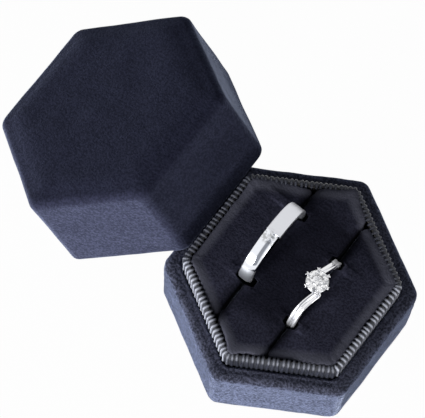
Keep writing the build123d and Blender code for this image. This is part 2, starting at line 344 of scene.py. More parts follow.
class Shader:
    """Builds one material, or the world, out of nodes."""

    def __init__(self, name, world=None):
        self.material = world or bpy.data.materials.new(name)
        self.material.use_nodes = True
        self.tree = self.material.node_tree
        self.tree.nodes.clear()
        self.output = self.tree.nodes.new("ShaderNodeOutputWorld" if world else "ShaderNodeOutputMaterial")
        self.position = self.node("ShaderNodeTexCoord", {}, {}, "Generated" if world else "Object")

    def node(self, kind, settings, inputs, output=0):
        """Add a node: its settings, then its inputs by place or name, and give one output."""
        made = self.tree.nodes.new(kind)
        for key, value in settings.items():
            setattr(made, key, value)
        pairs = inputs.items() if isinstance(inputs, dict) else enumerate(inputs)
        for key, value in pairs:
            socket = made.inputs[key]
            if isinstance(value, Value):
                self.tree.links.new(value.socket, socket)
            else:
                socket.default_value = (*value, 1) if socket.type == "RGBA" else value
        return Value(self, made.outputs[output])

    def maths(self, operation, *inputs):
        return self.node("ShaderNodeMath", {"operation": operation}, inputs)

    def noise(self, scale, detail=2.0, roughness=0.5, at=None):
        """Cloudy noise from 0 to 1; scale is in waves per metre."""
        inputs = {"Vector": at or self.position, "Scale": scale, "Detail": detail, "Roughness": roughness}
        return self.node("ShaderNodeTexNoise", {}, inputs)

    def mix(self, factor, first, second):
        """A colour between two colours."""
        return self.node("ShaderNodeMix", {"data_type": "RGBA"}, {0: factor, 6: first, 7: second}, 2)

    def parts(self):
        """The X, Y and Z of the place on the piece, or of the direction in the sky."""
        split = self.tree.nodes.new("ShaderNodeSeparateXYZ")
        self.tree.links.new(self.position.socket, split.inputs[0])
        return [Value(self, socket) for socket in split.outputs]

    def rays(self, *kinds):
        """For each kind of ray, 1 where such a ray looks and 0 elsewhere."""
        path = self.tree.nodes.new("ShaderNodeLightPath")
        return [Value(self, path.outputs[f"Is {kind} Ray"]) for kind in kinds]

    def bump(self, height, strength, distance, normal=None):
        inputs = {"Height": height, "Strength": strength, "Distance": distance}
        if normal is not None:
            inputs["Normal"] = normal
        return self.node("ShaderNodeBump", {}, inputs)

    def show(self, result):
        """Make this the surface of the material, or the light of the sky."""
        self.tree.links.new(result.socket, self.output.inputs["Surface"])
        return self.material

    def surface(self, **inputs):
        """A Principled shader as the material's surface; names use _ for spaces."""
        inputs = {name.replace("_", " "): value for name, value in inputs.items()}
        return self.show(self.node("ShaderNodeBsdfPrincipled", {}, inputs))


# %% [markdown]
# ## Velvet
#
# Velvet is a carpet of short upright fibres. Seen from above they swallow light, so the cloth
# looks almost black; seen along the surface their sides catch it, so edges and walls turn
# pale blue. The sheen of the Principled shader does a part of that, and a Layer Weight on the
# colour does the rest. Both follow a bumpy normal, so the tufts stand out most on the walls.
# They are drawn out a little up and down, because the pile is brushed that way.

# %% Velvet material
tuft_scale = 1900  # waves per metre of the tufts, of clumps of them and of brushed patches
clump_scale = 560
patch_scale = 110
pile_squeeze = 0.65
pile_depth = 0.3 * MM
patch_depth = 0.8 * MM


def shade_of(colour, amount):
    """A colour made darker or lighter."""
    return tuple(channel * amount for channel in colour)


def velvet(name, face, edge, contrast, relief=1.0, sheen=1.0, finish=None):
    """Velvet: its colour seen straight on and along the pile, and how far its tufts differ."""
    shader = Shader(name)
    squeezed = {"Vector": shader.position, "Scale": (1, 1, pile_squeeze)}
    brushed = shader.node("ShaderNodeMapping", {}, squeezed)
    tufts = shader.noise(tuft_scale, roughness=0.65, at=brushed)
    clumps = shader.noise(clump_scale, roughness=0.6, at=brushed)
    patches = shader.noise(patch_scale)
    pile = tufts * 0.84 + clumps * 0.16
    normal = shader.bump(pile, 1.0, pile_depth * relief)
    normal = shader.bump(patches, 0.35, patch_depth * relief, normal)
    # Painted sheen: the Layer Weight turns the colour pale where the cloth is seen edge-on.
    glancing_sheen = shader.node("ShaderNodeLayerWeight", {}, {"Blend": 0.5, "Normal": normal}, "Facing") ** 2.5
    dim, bright = (
        shader.mix(glancing_sheen, shade_of(face, amount), shade_of(edge, amount))
        for amount in (1 - contrast, 1 + contrast)
    )
    tips = (pile * 0.9 + patches * 0.1).above(0.5, 0.11)
    colour = shader.mix(tips, dim, bright)
    if finish:
        colour = finish(shader, colour)
    return shader.surface(
        Base_Color=colour,
        Roughness=0.95,
        Specular_IOR_Level=0.04,
        Sheen_Weight=sheen,
        Sheen_Roughness=0.25,
        Sheen_Tint=(0.7, 0.78, 1.0),
        Normal=normal,
    )


base_wrap_velvet = velvet("base_wrap_velvet", (0.070, 0.073, 0.104), (0.27, 0.31, 0.485), 0.55)
lid_wrap_velvet = velvet("lid_wrap_velvet", (0.036, 0.038, 0.068), (0.25, 0.275, 0.42), 0.25, relief=0.6)
print("velvet ready")

# %% [markdown]
# ## The base's velvet wrap
#
# One piece of velvet goes round the walls, folds over the ledge and down inside, and is
# turned under the base. The rows follow that path. The ledge has the slight dip that cloth
# keeps beside a fold, and a cloud texture moves the whole skin by a few tenths, because a
# hand-wrapped cover is never quite flat. Solidify then gives the cloth its thickness.

# %% Velvet skins
cloth = 0.8 * MM
skin = 0.8 * cloth  # thinner than the solid, so that the waves have room
wave_height = 0.35 * MM
corner_radius = 2.7 * MM
row_gap = 1.3 * MM


def unevenness(piece, strength, size):
    """Move a skin in and out a little, in soft waves of the given size."""
    texture = bpy.data.textures.new(f"{piece.name}_waves", "CLOUDS")
    texture.noise_scale = size
    texture.noise_depth = 1
    add_modifier(piece, "DISPLACE", texture=texture, strength=strength, mid_level=0.5, texture_coords="LOCAL")


def make_cloth(piece, wave_size):
    """Give a lofted skin its waves, its thickness and a finer mesh, still as modifiers."""
    point_outwards()
    put(piece)
    unevenness(piece, wave_height, wave_size)
    add_modifier(piece, "SOLIDIFY", thickness=skin, offset=-1)
    add_modifier(piece, "SUBSURF", levels=1, render_levels=1)


# %% Base wrap
ledge_radius = 2.0 * MM
hem_radius = 1.0 * MM
hem_width = 6.0 * MM
ledge_inner = trim_apothem + 0.1 * MM
ledge_dip = ((0.35, 0.18), (0.75, 0.02))  # inwards from the fold and down, in mm
lip_radius = 0.45 * MM
turn_in = 5.0 * MM


def wrap_rows():
    rows = [(apothem - hem_width, foot_z)]
    under = arc_rows((apothem - hem_radius, foot_z + hem_radius), hem_radius, -90, 0, 4)
    rows += straight_rows(rows[0], under[0], 2 * row_gap) + under
    fold = arc_rows((apothem - ledge_radius, ledge_z - ledge_radius), ledge_radius, 0, 80, 6)
    rows += straight_rows(under[-1], fold[0], row_gap) + fold
    rows += sunk_rows((apothem - ledge_radius, ledge_z), ledge_dip)
    lip = arc_rows((ledge_inner + lip_radius, ledge_z - lip_radius), lip_radius, 90, 180, 4)
    last = (ledge_inner, ledge_z - turn_in)
    return rows + lip + straight_rows(lip[-1], last, row_gap) + [last]


base_wrap = hexagon_loft("base_wrap", wrap_rows(), corner_radius, row_gap)
make_cloth(base_wrap, 7 * MM)
unevenness(base_wrap, 0.12 * MM, 2 * MM)
apply_modifiers(base_wrap)
dress(base_wrap, base_wrap_velvet)
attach(base_wrap, "base")
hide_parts("base_velvet")

# %% [markdown]
# ## The lid's velvet wrap
#
# The lid is the same outline turned over: the rows start inside the rim, pass round it, climb
# the wall and close over the top. A sheet of foam under the top makes its edge soft, so the
# last rows sink away gently before the wall begins instead of meeting it at one radius.

# %% Lid wrap
lid_wall = 3.0 * MM
rim_radius = 0.8 * MM
rim_inner_radius = 0.3 * MM
lid_turn_in = 4.0 * MM
lid_edge = 2.3 * MM
soft_edge = ((2.9, 0.62), (4.0, 0.3), (5.4, 0.1), (7.2, 0.0))  # inwards and down, in mm
pole_radius = 0.6 * MM  # the last loop, which is merged into the pole of a closed top


def lid_rows():
    inner = apothem - lid_wall
    rows = [(inner, lid_turn_in)]
    inside = arc_rows((inner + rim_inner_radius, rim_inner_radius), rim_inner_radius, 180, 270, 2)
    outside = arc_rows((apothem - rim_radius, rim_radius), rim_radius, -90, 0, 4)
    rows += straight_rows(rows[0], inside[0], row_gap) + inside + outside
    wall_top = (apothem, lid_height - lid_edge - soft_edge[0][1] * MM)
    rows += straight_rows(outside[-1], wall_top, row_gap)
    rows += arc_rows((apothem - lid_edge, wall_top[1]), lid_edge, 0, 66, 6)
    rows += sunk_rows((apothem, lid_height), soft_edge)
    last = (pole_radius, lid_height)
    return rows + straight_rows(rows[-1], last, row_gap * 1.2) + [last]


lid_wrap = hexagon_loft("lid_wrap", lid_rows(), corner_radius, row_gap)
bpy.ops.mesh.merge(type="CENTER")
make_cloth(lid_wrap, 8 * MM)
apply_modifiers(lid_wrap)
put(lid_wrap, lid_place)
dress(lid_wrap, lid_wrap_velvet)
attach(lid_wrap, "lid")
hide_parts("lid_velvet")

# %% [markdown]
# ## The corded trim
#
# A gimp is glued round the collar: a tape with satin cords laid across it, side by side. Each
# cord climbs the wall, bends over the collar's edge and runs in to the cushions. One cord is
# modelled and copied along the rounded hexagon, each copy a little unsteady, so that they
# don't look machined. The bright line along each cord's crest is a painted highlight, kept as an
# attribute of its mesh. It is painted stronger on some sides of the box than on others, as light
# and shade fall there, and it fades towards the cushions.

# %% Satin cord material


def satin(name, dark, light, roughness, thread=1500, sheen=0.25, gloss=0.6, painted_highlight=None):
    """Satin thread: smooth fibres with long soft highlights, and a painted highlight along the crests."""
    shader = Shader(name)
    fibres = shader.noise(thread, roughness=0.55)
    patches = shader.noise(260, detail=1)
    colour = shader.mix((fibres * 0.6 + patches * 0.4).above(0.5, 0.16), dark, light)
    if painted_highlight:
        # The crest attribute paints a pale highlight colour along each cord's crest.
        crest_highlight = shader.node("ShaderNodeAttribute", {"attribute_name": "crest_highlight"}, {}, "Fac")
        colour = shader.mix(crest_highlight, colour, painted_highlight)
    return shader.surface(
        Base_Color=colour,
        Roughness=fibres * 0.16 + (roughness - 0.08),
        Specular_IOR_Level=gloss,
        Sheen_Weight=sheen,
        Sheen_Roughness=0.3,
        Sheen_Tint=(0.8, 0.85, 1.0),
        Normal=shader.bump(fibres, 0.35, 0.08 * MM),
    )


# The pale colour is the painted highlight along the cords' crests.
cord_look = {"sheen": 0.02, "gloss": 0.12, "painted_highlight": (0.88, 0.90, 1.0)}
cord_satin = satin("cord_satin", (0.018, 0.019, 0.028), (0.045, 0.048, 0.066), 0.3, **cord_look)
tape_satin = satin("tape_satin", (0.012, 0.013, 0.020), (0.025, 0.028, 0.040), 0.6, sheen=0.1)

# %% One cord
rib_count = 130
rib_radius = 0.4 * MM
rib_bend = 0.8 * MM
rib_reach = 1.5 * MM
rib_tail = ((0.05, 0.82, 0.9), (0.22, 0.7, 0.7))  # its two steps in: down in mm, width, height
rib_centre = trim_apothem - rib_radius
rib_axis_z = trim_high[2] - rib_radius
bend_z = rib_axis_z - rib_bend
inner_highlight_fade = 0.8  # how much of its painted highlight a cord loses towards the cushions

clear_selection()
bpy.ops.mesh.primitive_circle_add(
    vertices=8, radius=rib_radius, fill_type="NGON", location=(0, 0, trim_low[2])
)
rib = adopt("rib")
select_all()
wall_height = bend_z - trim_low[2]
bpy.ops.mesh.extrude_region_move(TRANSFORM_OT_translate={"value": (0, 0, wall_height)})
pick(rib, "faces", lambda face: min(v.co.z for v in face.verts) > wall_height / 2)
bpy.ops.mesh.spin(
    steps=5, angle=math.pi / 2, center=(-rib_bend, 0, bend_z), axis=(0, 1, 0), use_auto_merge=False
)
for down, wide, high in rib_tail:
    step = ((rib_bend - rib_reach) / len(rib_tail), 0, -down * MM)
    bpy.ops.mesh.extrude_region_move(TRANSFORM_OT_translate={"value": step})
    bpy.ops.transform.resize(value=(1, wide, high))
put(rib)
smooth(rib)


def clamp(share):
    return min(max(share, 0), 1)


def highlight_share_of(point):
    """The painted highlight on a cord: 1 on its outermost line, 0 on its flanks and back, less towards the
    cushions.
    """
    if point.z < bend_z:
        proud = point.x
    elif point.x > -rib_bend:
        proud = math.hypot(point.x + rib_bend, point.z - bend_z) - rib_bend
    else:
        proud = point.z - rib_axis_z
    return max(proud / rib_radius, 0) ** 3 * (1 - inner_highlight_fade * clamp(-point.x / rib_reach))


rib_highlight_shares = [highlight_share_of(vertex.co) for vertex in rib.data.vertices]
rib_heights = [vertex.co.z for vertex in rib.data.vertices]
print("one cord:", len(rib.data.polygons), "faces, top at", round(max(rib_heights) / MM, 2))

# %% Round the hexagon
collar_corner = 2.2 * MM


def outline_place(across, corner, share):
    """A point on a rounded hexagon and the direction outwards there; share goes from 0 to 1."""
    straight = 2 * (across - corner) * math.tan(math.pi / 6)
    arc = corner * math.pi / 3
    side, along = divmod(share * 6 * (straight + arc), straight + arc)
    facing = side * math.pi / 3
    tangent = Vector((-math.sin(facing), math.cos(facing), 0))
    turned = facing + max(along - straight, 0) / corner
    outward = Vector((math.cos(turned), math.sin(turned), 0))
    if along < straight:
        return outward * across + tangent * (along - straight / 2), outward
    middle = Vector((math.cos(facing), math.sin(facing), 0)) * (across - corner)
    return middle + tangent * straight / 2 + outward * corner, outward


def ease(share):
    """0 to 1 with a soft start and end."""
    share = clamp(share)
    return share * share * (3 - 2 * share)


def by_side(values, x, y):
    """One of six values, for the sides from +X round to the left, blended at the corners."""
    place = math.degrees(math.atan2(y, x)) % 360 / 60
    side = int(place)
    blend = ease((place - side - 0.3) / 0.4)
    return values[side % 6] * (1 - blend) + values[(side + 1) % 6] * blend


# %% Copies


def duplicate(piece, name, place):
    """A copy with its own mesh, at its own place."""
    copy = bpy.data.objects.new(name, piece.data.copy())
    bpy.context.collection.objects.link(copy)
    copy.matrix_world = place
    return copy


def join(pieces, name):
    select_only(*pieces)
    bpy.ops.object.join()
    whole = bpy.context.object
    whole.name = whole.data.name = name
    return whole


# %% All the cords
# The crests are painted brighter on the sides where light falls and darker on the shaded ones.
wall_highlight_by_side = (0.7, 0.12, 0.12, 0.3, 1.0, 0.02)  # painted highlight on the wall part, side by side
bend_highlight_by_side = (1.3, 0.2, 0.15, 0.3, 0.75, 0.36)  # painted highlight where the cords bend over the edge
most_lean = 2.5  # degrees
least_width, most_width = 0.94, 1.05
lowest, highest = -0.05 * MM, 0.03 * MM

cords = []
rib_middle = Vector((0, 0, (trim_low[2] + trim_high[2]) / 2))
for number in range(rib_count):
    point, outward = outline_place(rib_centre, collar_corner, (number + 0.5) / rib_count)
    lean = math.radians(random.uniform(-most_lean, most_lean))
    width = random.uniform(least_width, most_width)
    place = (
        Matrix.Translation(point + Vector((0, 0, random.uniform(lowest, highest))))
        @ Matrix.Rotation(math.atan2(outward.y, outward.x), 4, "Z")
        @ Matrix.Translation(rib_middle)
        @ Matrix.Rotation(lean, 4, "X")
        @ Matrix.Translation(-rib_middle)
        @ Matrix.Diagonal((1, width, 1, 1))
    )
    cord = duplicate(rib, f"rib_{number}", place)
    highlight_on_bend = by_side(bend_highlight_by_side, outward.x, outward.y)
    highlight_on_wall = by_side(wall_highlight_by_side, outward.x, outward.y)
    crest_highlight = cord.data.attributes.new("crest_highlight", "FLOAT", "POINT")
    for index, (value, height) in enumerate(zip(rib_highlight_shares, rib_heights)):
        down = clamp((rib_axis_z - height) / rib_bend)
        crest_highlight.data[index].value = value * (highlight_on_bend + (highlight_on_wall - highlight_on_bend) * down)
    cords.append(cord)
bpy.data.objects.remove(rib)
trim_cords = put(join(cords, "trim_cords"))
dress(trim_cords, cord_satin)
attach(trim_cords, "base")
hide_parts("ribbed_trim")

# %% The tape under the cords
tape_gap = 0.3 * MM
tape_bend = rib_bend + rib_radius - tape_gap
tape_across = trim_apothem - tape_gap
tape_centre = (tape_across - tape_bend, trim_high[2] - tape_gap - tape_bend)
tape_end = (0.12, 0.8)  # inwards and down, in mm
tape_rows = [(tape_across, trim_low[2])]
tape_rows += straight_rows(tape_rows[0], (tape_across, tape_centre[1]), row_gap)
tape_rows += arc_rows(tape_centre, tape_bend, 0, 84, 5)
tape_rows += sunk_rows(tape_rows[-1], [tape_end])
trim_tape = hexagon_loft("trim_tape", tape_rows, collar_corner, row_gap)
point_outwards()
put(trim_tape)
add_modifier(trim_tape, "SOLIDIFY", thickness=0.15 * MM, offset=-1)
apply_modifiers(trim_tape)
dress(trim_tape, tape_satin)
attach(trim_tape, "base")
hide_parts("ribbed_trim")

# %% [markdown]
# ## Where the rings stand
#
# The cushions give way round the rings, so the rings' places are needed first. Both come from
# the frame: a ring's box gives its centre, its radius and its width.

# %% Ring measures
band_low, band_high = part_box("wedding_band")
band_centre = (Vector(band_low) + Vector(band_high)) / 2
band_radius = (band_high[2] - band_low[2]) / 2
band_width = band_high[0] - band_low[0]
band_thickness = 1.4 * MM
shank_low, shank_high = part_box("solitaire_shank")
shank_width = 1.9 * MM
shank_thickness = 1.2 * MM
shank_outer = 9.2 * MM
shank_centre = Vector([(low + high) / 2 for low, high in zip(shank_low, shank_high)])
shank_centre.z = shank_low[2] + shank_outer
print("band", [round(v / MM, 2) for v in band_centre], "solitaire", [round(v / MM, 2) for v in shank_centre])

# %% [markdown]
# ## The three cushions
#
# Each cushion is foam in a velvet bag, pushed into the collar. A hexagonal prism is cut down
# to one cushion's width and its edges are rounded. Then air pressure in a cloth simulation
# stuffs it: the flat faces swell and the seams hold back. The simulation works on a model
# twenty times larger, because cloth settings are made for things the size of clothes.

# %% Cushion blocks
cushion_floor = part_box("cushion_core_left")[0][2] - cloth
cushion_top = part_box("cushion_cover_middle")[1][2]
cushion_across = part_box("cushion_board")[1][0] - 0.35 * MM
cushion_corner = 0.9 * MM
cushion_edge = 0.8 * MM
swell_room = 0.3 * MM  # a block starts this much lower than the stuffed cushion
half_slit = 0.2 * MM
crown = 0.45 * MM
model_scale = 20
voxel = 0.5 * MM


def rise(edge):
    """How much higher one end of an edge is than the other."""
    return abs(edge.verts[0].co.z - edge.verts[1].co.z)


def cushion_block(name, from_x, to_x):
    """A hexagonal prism cut to the stretch between two X values, rounded, twenty times larger."""
    k = model_scale
    depth = k * (cushion_top - swell_room - cushion_floor)
    clear_selection()
    bpy.ops.mesh.primitive_cylinder_add(
        vertices=6, radius=k * cushion_across / math.cos(math.pi / 6), depth=depth, location=(0, 0, depth / 2)
    )
    piece = adopt(name)
    for cut_x, cleared in ((from_x, "clear_inner"), (to_x, "clear_outer")):
        select_all()
        where = {"plane_co": (k * cut_x, 0, 0), "plane_no": (1, 0, 0), cleared: True}
        bpy.ops.mesh.bisect(use_fill=True, **where)
    pick(piece, "edges", lambda edge: rise(edge) > depth / 2)
    bpy.ops.mesh.bevel(offset=k * cushion_corner, segments=4, affect="EDGES")
    pick(piece, "edges", lambda edge: min(v.co.z for v in edge.verts) > depth / 2 - 1e-4)
    bpy.ops.mesh.bevel(offset=k * cushion_edge, segments=5, affect="EDGES")
    put(piece)
    add_modifier(piece, "REMESH", mode="VOXEL", voxel_size=k * voxel)
    apply_modifiers(piece)
    middle = (from_x + to_x) / 2
    half = (to_x - from_x) / 2
    for vertex in piece.data.vertices:
        height = max(vertex.co.z / depth, 0)
        across = (vertex.co.x / k - middle) / half
        vertex.co.z -= k * crown * across**2 * height**3
    return piece


# %% Stuffing
swell_cap = 0.4 * MM
glued_height = 2 * MM
pressure = 4
last_frame = 20


def stuff(piece):
    """Blow the cushion up with cloth under pressure, and cap how far each point moves."""
    k = model_scale
    start = [vertex.co.copy() for vertex in piece.data.vertices]
    held = piece.vertex_groups.new(name="glued")
    held.add([v.index for v in piece.data.vertices if v.co.z < k * glued_height], 1.0, "REPLACE")
    simulation = add_modifier(piece, "CLOTH").settings
    simulation.vertex_group_mass = held.name
    simulation.use_pressure = True
    simulation.uniform_pressure_force = pressure
    simulation.effector_weights.gravity = 0
    for number in range(1, last_frame + 1):
        bpy.context.scene.frame_set(number)
    apply_modifiers(piece)
    bpy.context.scene.frame_set(1)
    furthest = 0
    for vertex, before in zip(piece.data.vertices, start):
        move = vertex.co - before
        furthest = max(furthest, move.length)
        if move.length > k * swell_cap:
            vertex.co = before + move * (k * swell_cap / move.length)
    print(piece.name, "swelled by up to", round(furthest / k / MM, 2), "mm, capped at", swell_cap / MM)


# %% [markdown]
# ## The lip over the cords
#
# The stuffed cushions are wider than the collar, so their velvet spreads over the inner ends
# of the cords, further on the far sides than on the near ones. So soft a lip has no edge that
# could be extruded, and the points near the rim are raised and moved outwards in code.

# %% Lip
lip_from = 2.2 * MM  # how far in from the edge the lip starts to rise
lip_rise = 0.75 * MM
lip_reach = (2.0, 2.9, 2.9, 2.0, 1.3, 2.1)  # how far it spreads over the cords, side by side, in mm
lip_depth = 1.6 * MM


def hexagon_distance(x, y, highest=max):
    """How far out a point is, measured square to the nearest side of the hexagon."""
    half_y = y * math.sin(math.pi / 3)
    return highest(abs(x), abs(x * 0.5 + half_y), abs(x * 0.5 - half_y))


def lean_over(piece):
    """Raise the rim of a cushion and let it spread over the inner ends of the cords."""
    for vertex in piece.data.vertices:
        x, y, z = vertex.co
        out = ease((hexagon_distance(x, y) - cushion_across + lip_from) / lip_from)
        share = out * ease((z - cushion_top + lip_depth) / lip_depth)
        reach = by_side(lip_reach, x, y) * MM
        vertex.co.x += x / cushion_across * reach * share
        vertex.co.y += y / cushion_across * reach * share
        vertex.co.z += lip_rise * share


# %% [markdown]
# ## Hollows for the rings
#
# A ring parts the pile: the cushions beside it are pressed back, and their velvet stands up
# against the metal. A boolean cut would leave a hard slot. Here the points near the ring move
# aside, less and less with their distance from it.

# %% Hollows
ring_room = 0.15 * MM
give_way = 6.0 * MM  # how far into the cushion the pile is pressed together
fade_outside = 0.45 * MM  # how far from the ring the hollow runs out
fade_inside = 0.6 * MM  # how soon the cushions meet again inside the ring
hug = 1.6 * MM  # the pile this far below the top stands up against the ring


def press_hollow(piece, edge_x, wall_x, centre, outer, inner):
    """Press the side at edge_x back to wall_x where a ring passes, between its two radii."""
    inside = 1 if wall_x > edge_x else -1
    root = wall_x + inside * give_way
    for vertex in piece.data.vertices:
        x, y, z = vertex.co
        if (x - root) * inside > 0:
            continue
        radius = math.hypot(y - centre.y, z - centre.z)
        distance = max((radius - outer) / fade_outside, (inner - radius) / fade_inside)
        nearness = ease(1 - distance)
        pressed = root + (x - root) * (wall_x - root) / (edge_x - root)
        vertex.co.x = x + (pressed - x) * nearness
        if z < cushion_top:
            lift = ease((z - cushion_top + hug) / (hug / 2))
            vertex.co.z = z + (cushion_top - z) * nearness * lift


# %% [markdown]
# ## The cushions' velvet
#
# The cushions' colour isn't the same all over. It is darker between the rings, paler along the
# collar as a painted sheen on the rounded rim, and darker beside the band's slit and near black
# down in the slots as painted shade. Soft masks on Object coordinates mix these shades into the
# velvet's colour.

# %% The cushions' velvet
rim_sheen_width = 1.8 * MM
slot_shade_depth = 1.2 * MM  # below this depth the pile of a slot is painted in shade
slit_shade = 1.6 * MM
beside_ring = 1.5 * MM
dark_middle_from = -13 * MM
dark_middle_to = 16 * MM


def cushion_shades(shader, colour):
    """Painted shade in the slots and beside the band's slit, darker between the rings, painted sheen along
    the rim.
    """
    x, y, z = shader.parts()
    # Painted sheen: a pale band along the cushions' rounded rim.
    painted_rim_sheen = hexagon_distance(x, y, Value.highest).above(cushion_across - rim_sheen_width, 1 * MM)
    # Darker between the rings.
    brushed = x.between(band_centre.x + beside_ring, shank_centre.x + beside_ring, 1 * MM)
    brushed = brushed * y.between(dark_middle_from, dark_middle_to, 3 * MM)
    # Painted shade beside the band's slit, and near black down in the slots.
    painted_slit_dark = 1 - abs(x - band_centre.x).above(slit_shade, slit_shade)
    painted_slot_shade = 1 - z.above(cushion_top - slot_shade_depth, 0.5 * MM)
    colour = shader.mix(brushed * 0.6, colour, (0.003, 0.003, 0.006))
    colour = shader.mix(painted_rim_sheen * 0.8, colour, (0.14, 0.14, 0.175))
    colour = shader.mix(painted_slit_dark * 0.4, colour, (0.004, 0.004, 0.007))
    return shader.mix(painted_slot_shade * (1 - painted_rim_sheen), colour, (0.002, 0.002, 0.003))


cushion_look = {"relief": 0.6, "sheen": 0.12, "finish": cushion_shades}
cushion_velvet = velvet("cushion_velvet", (0.040, 0.040, 0.062), (0.10, 0.10, 0.14), 0.3, **cushion_look)

# %% The cushions
slots = {
    "band": (band_centre, band_radius, band_thickness, band_width / 2 + ring_room),
    "solitaire": (shank_centre, shank_outer, shank_thickness, shank_width / 2 + ring_room),
}
cushion_sides = {"left": (None, "band"), "middle": ("band", "solitaire"), "right": ("solitaire", None)}
beyond = cushion_across * 1.2
for side, (left_ring, right_ring) in cushion_sides.items():
    from_x = slots[left_ring][0].x + half_slit if left_ring else -beyond
    to_x = slots[right_ring][0].x - half_slit if right_ring else beyond
    cushion = cushion_block(f"cushion_{side}", from_x, to_x)
    stuff(cushion)
    put(cushion, Matrix.Translation((0, 0, cushion_floor)) @ Matrix.Scale(1 / model_scale, 4))
    unevenness(cushion, 0.3 * MM, 6 * MM)
    refine(cushion)
    lean_over(cushion)
    for ring, edge_x, side_sign in ((left_ring, from_x - swell_cap, 1), (right_ring, to_x + swell_cap, -1)):
        if ring:
            centre, radius, thickness, half_width = slots[ring]
            wall_x = centre.x + side_sign * half_width
            inner = radius - thickness - ring_room
            press_hollow(cushion, edge_x, wall_x, centre, radius + ring_room, inner)
    dress(cushion, cushion_velvet, 80)
    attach(cushion, "base")
    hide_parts(f"cushion_cover_{side}")

# %% [markdown]
# ## Metal
#
# Polished white gold is a mirror, so most of its look is what it reflects. Satin metal has
# marks too fine to see, which spread the reflection, so roughness tells the two apart. The
# band has both, hammered where they meet, and the shank is satin where fingers rub it.

# %% Metal materials
satin_roughness = 0.42
polish_from = math.radians(92)
polish_to = math.radians(260)
polish_worn = math.radians(151)  # from here on the mirror is rubbed dull


def white_metal(name, roughness, colour=(0.86, 0.86, 0.88), satin_below=None):
    """Polished metal; below a height it is satin, as rings are where fingers rub them."""
    shader = Shader(name)
    if satin_below is not None:
        rubbed = 1 - shader.parts()[2].above(satin_below, 0.3 * MM)
        roughness = rubbed * satin_roughness + roughness
    marks = shader.noise(900, detail=3, roughness=0.6)
    wear = shader.noise(320)
    return shader.surface(
        Base_Color=shader.mix(wear, shade_of(colour, 0.94), colour),
        Metallic=1.0,
        Roughness=marks * 0.08 + roughness,
        Normal=shader.bump(wear, 0.12, 0.03 * MM),
    )


def band_metal():
    """Satin over most of the band, a mirror finish over the cut-back stretch, hammered where they meet."""
    shader = Shader("band_metal")
    y, z = shader.parts()[1:]
    angle = shader.maths("ARCTAN2", z - band_centre.z, y - band_centre.y)
    turn = shader.maths("WRAP", angle, 2 * math.pi, 0.0)
    polished = turn.between(polish_from, polish_to, 0.01)
    worn = turn.above(polish_worn, 0.05)
    near_step = turn.above(polish_from - 0.05, 0.04) * (1 - turn.above(polish_from + 0.26, 0.06))
    marks = shader.noise(2400, roughness=0.6)
    hammered = shader.noise(1000, roughness=0.6)
    normal = shader.bump(marks * (1 - polished), 0.25, 0.02 * MM)
    normal = shader.bump(hammered * near_step, 0.5, 0.16 * MM, normal)
    colour = shader.mix(polished, (0.72, 0.73, 0.77), (0.86, 0.88, 0.93))
    # The hammer dents are painted grey, as painted shade in the marks.
    painted_dent_shade = near_step * (1 - hammered.above(0.47, 0.08))
    return shader.surface(
        Base_Color=shader.mix(painted_dent_shade, colour, (0.5, 0.51, 0.52)),
        Metallic=1.0,
        Roughness=satin_roughness - polished * (1 - worn) * 0.34 + near_step * 0.12,
        Normal=normal,
    )


# %% [markdown]
# ## The wedding band
#
# A band is a turned piece: its section goes once round the axis. The section is a rectangle
# with rounded corners and a slightly domed outer face. The mirror stretch is then cut back,
# lower and narrower, by moving the points between two angles.

# %% Wedding band
band_bevel = 0.3 * MM
band_steps = 240
band_dome = 0.06 * MM
polish_step = 0.12 * MM
polish_narrowing = 0.35 * MM
polish_lean = 0.42 * MM  # the cut-back stretch falls away towards the other ring
hammered_turn = 0.2  # radians from the step over which the points are unsteady


def ring_section(name, width, thickness, outer_radius):
    """A rectangle in the plane of the ring's axis, with its outer edge at the radius, at +Y."""
    clear_selection()
    bpy.ops.mesh.primitive_plane_add(size=1, location=(0, outer_radius - thickness / 2, 0))
    piece = adopt(name)
    select_all()
    bpy.ops.transform.resize(value=(width, thickness, 1))
    return piece


wedding_band = ring_section("wedding_band_metal", band_width, band_thickness, band_radius)
bpy.ops.mesh.bevel(offset=band_bevel, segments=4, affect="VERTICES")
pick(wedding_band, "faces")
bpy.ops.mesh.delete(type="ONLY_FACE")
pick(wedding_band, "edges", lambda edge: edge.calc_length() > band_width / 2)
bpy.ops.mesh.subdivide(number_cuts=5)
bpy.ops.mesh.select_mode(type="EDGE")
select_all()
bpy.ops.mesh.spin(steps=band_steps, angle=2 * math.pi, center=(0, 0, 0), axis=(1, 0, 0), use_auto_merge=False)
select_all()
bpy.ops.mesh.remove_doubles(threshold=0.001 * MM)
point_outwards()
put(wedding_band, Matrix.Translation(band_centre))
for vertex in wedding_band.data.vertices:
    spoke = Vector((0, vertex.co.y - band_centre.y, vertex.co.z - band_centre.z))
    share = (vertex.co.x - band_centre.x) / (band_width / 2)
    turn = math.atan2(spoke.z, spoke.y) % (2 * math.pi)
    cut_back = polish_from < turn < polish_to
    if spoke.length > band_radius - band_thickness / 2:
        dome = band_dome * share**2
        if cut_back:
            dome += polish_step + polish_lean * max(share - 0.1, 0) ** 1.4
        vertex.co -= spoke.normalized() * dome
        if polish_from < turn < polish_from + hammered_turn:
            vertex.co += spoke.normalized() * random.uniform(-0.03, 0.05) * MM
    if cut_back and share > 0:
        vertex.co.x -= polish_narrowing * share
dress(wedding_band, band_metal(), 35)
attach(wedding_band, "band_ring")
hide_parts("wedding_band")

# %% [markdown]
# ## The solitaire's shank
#
# The shank is open at the top. Its two arms swing past the head on opposite sides, one wide
# and one narrow, and a groove between two rails runs along each. The grooved section is spun
# nearly a whole turn, and then the points of each arm are moved sideways and drawn in.

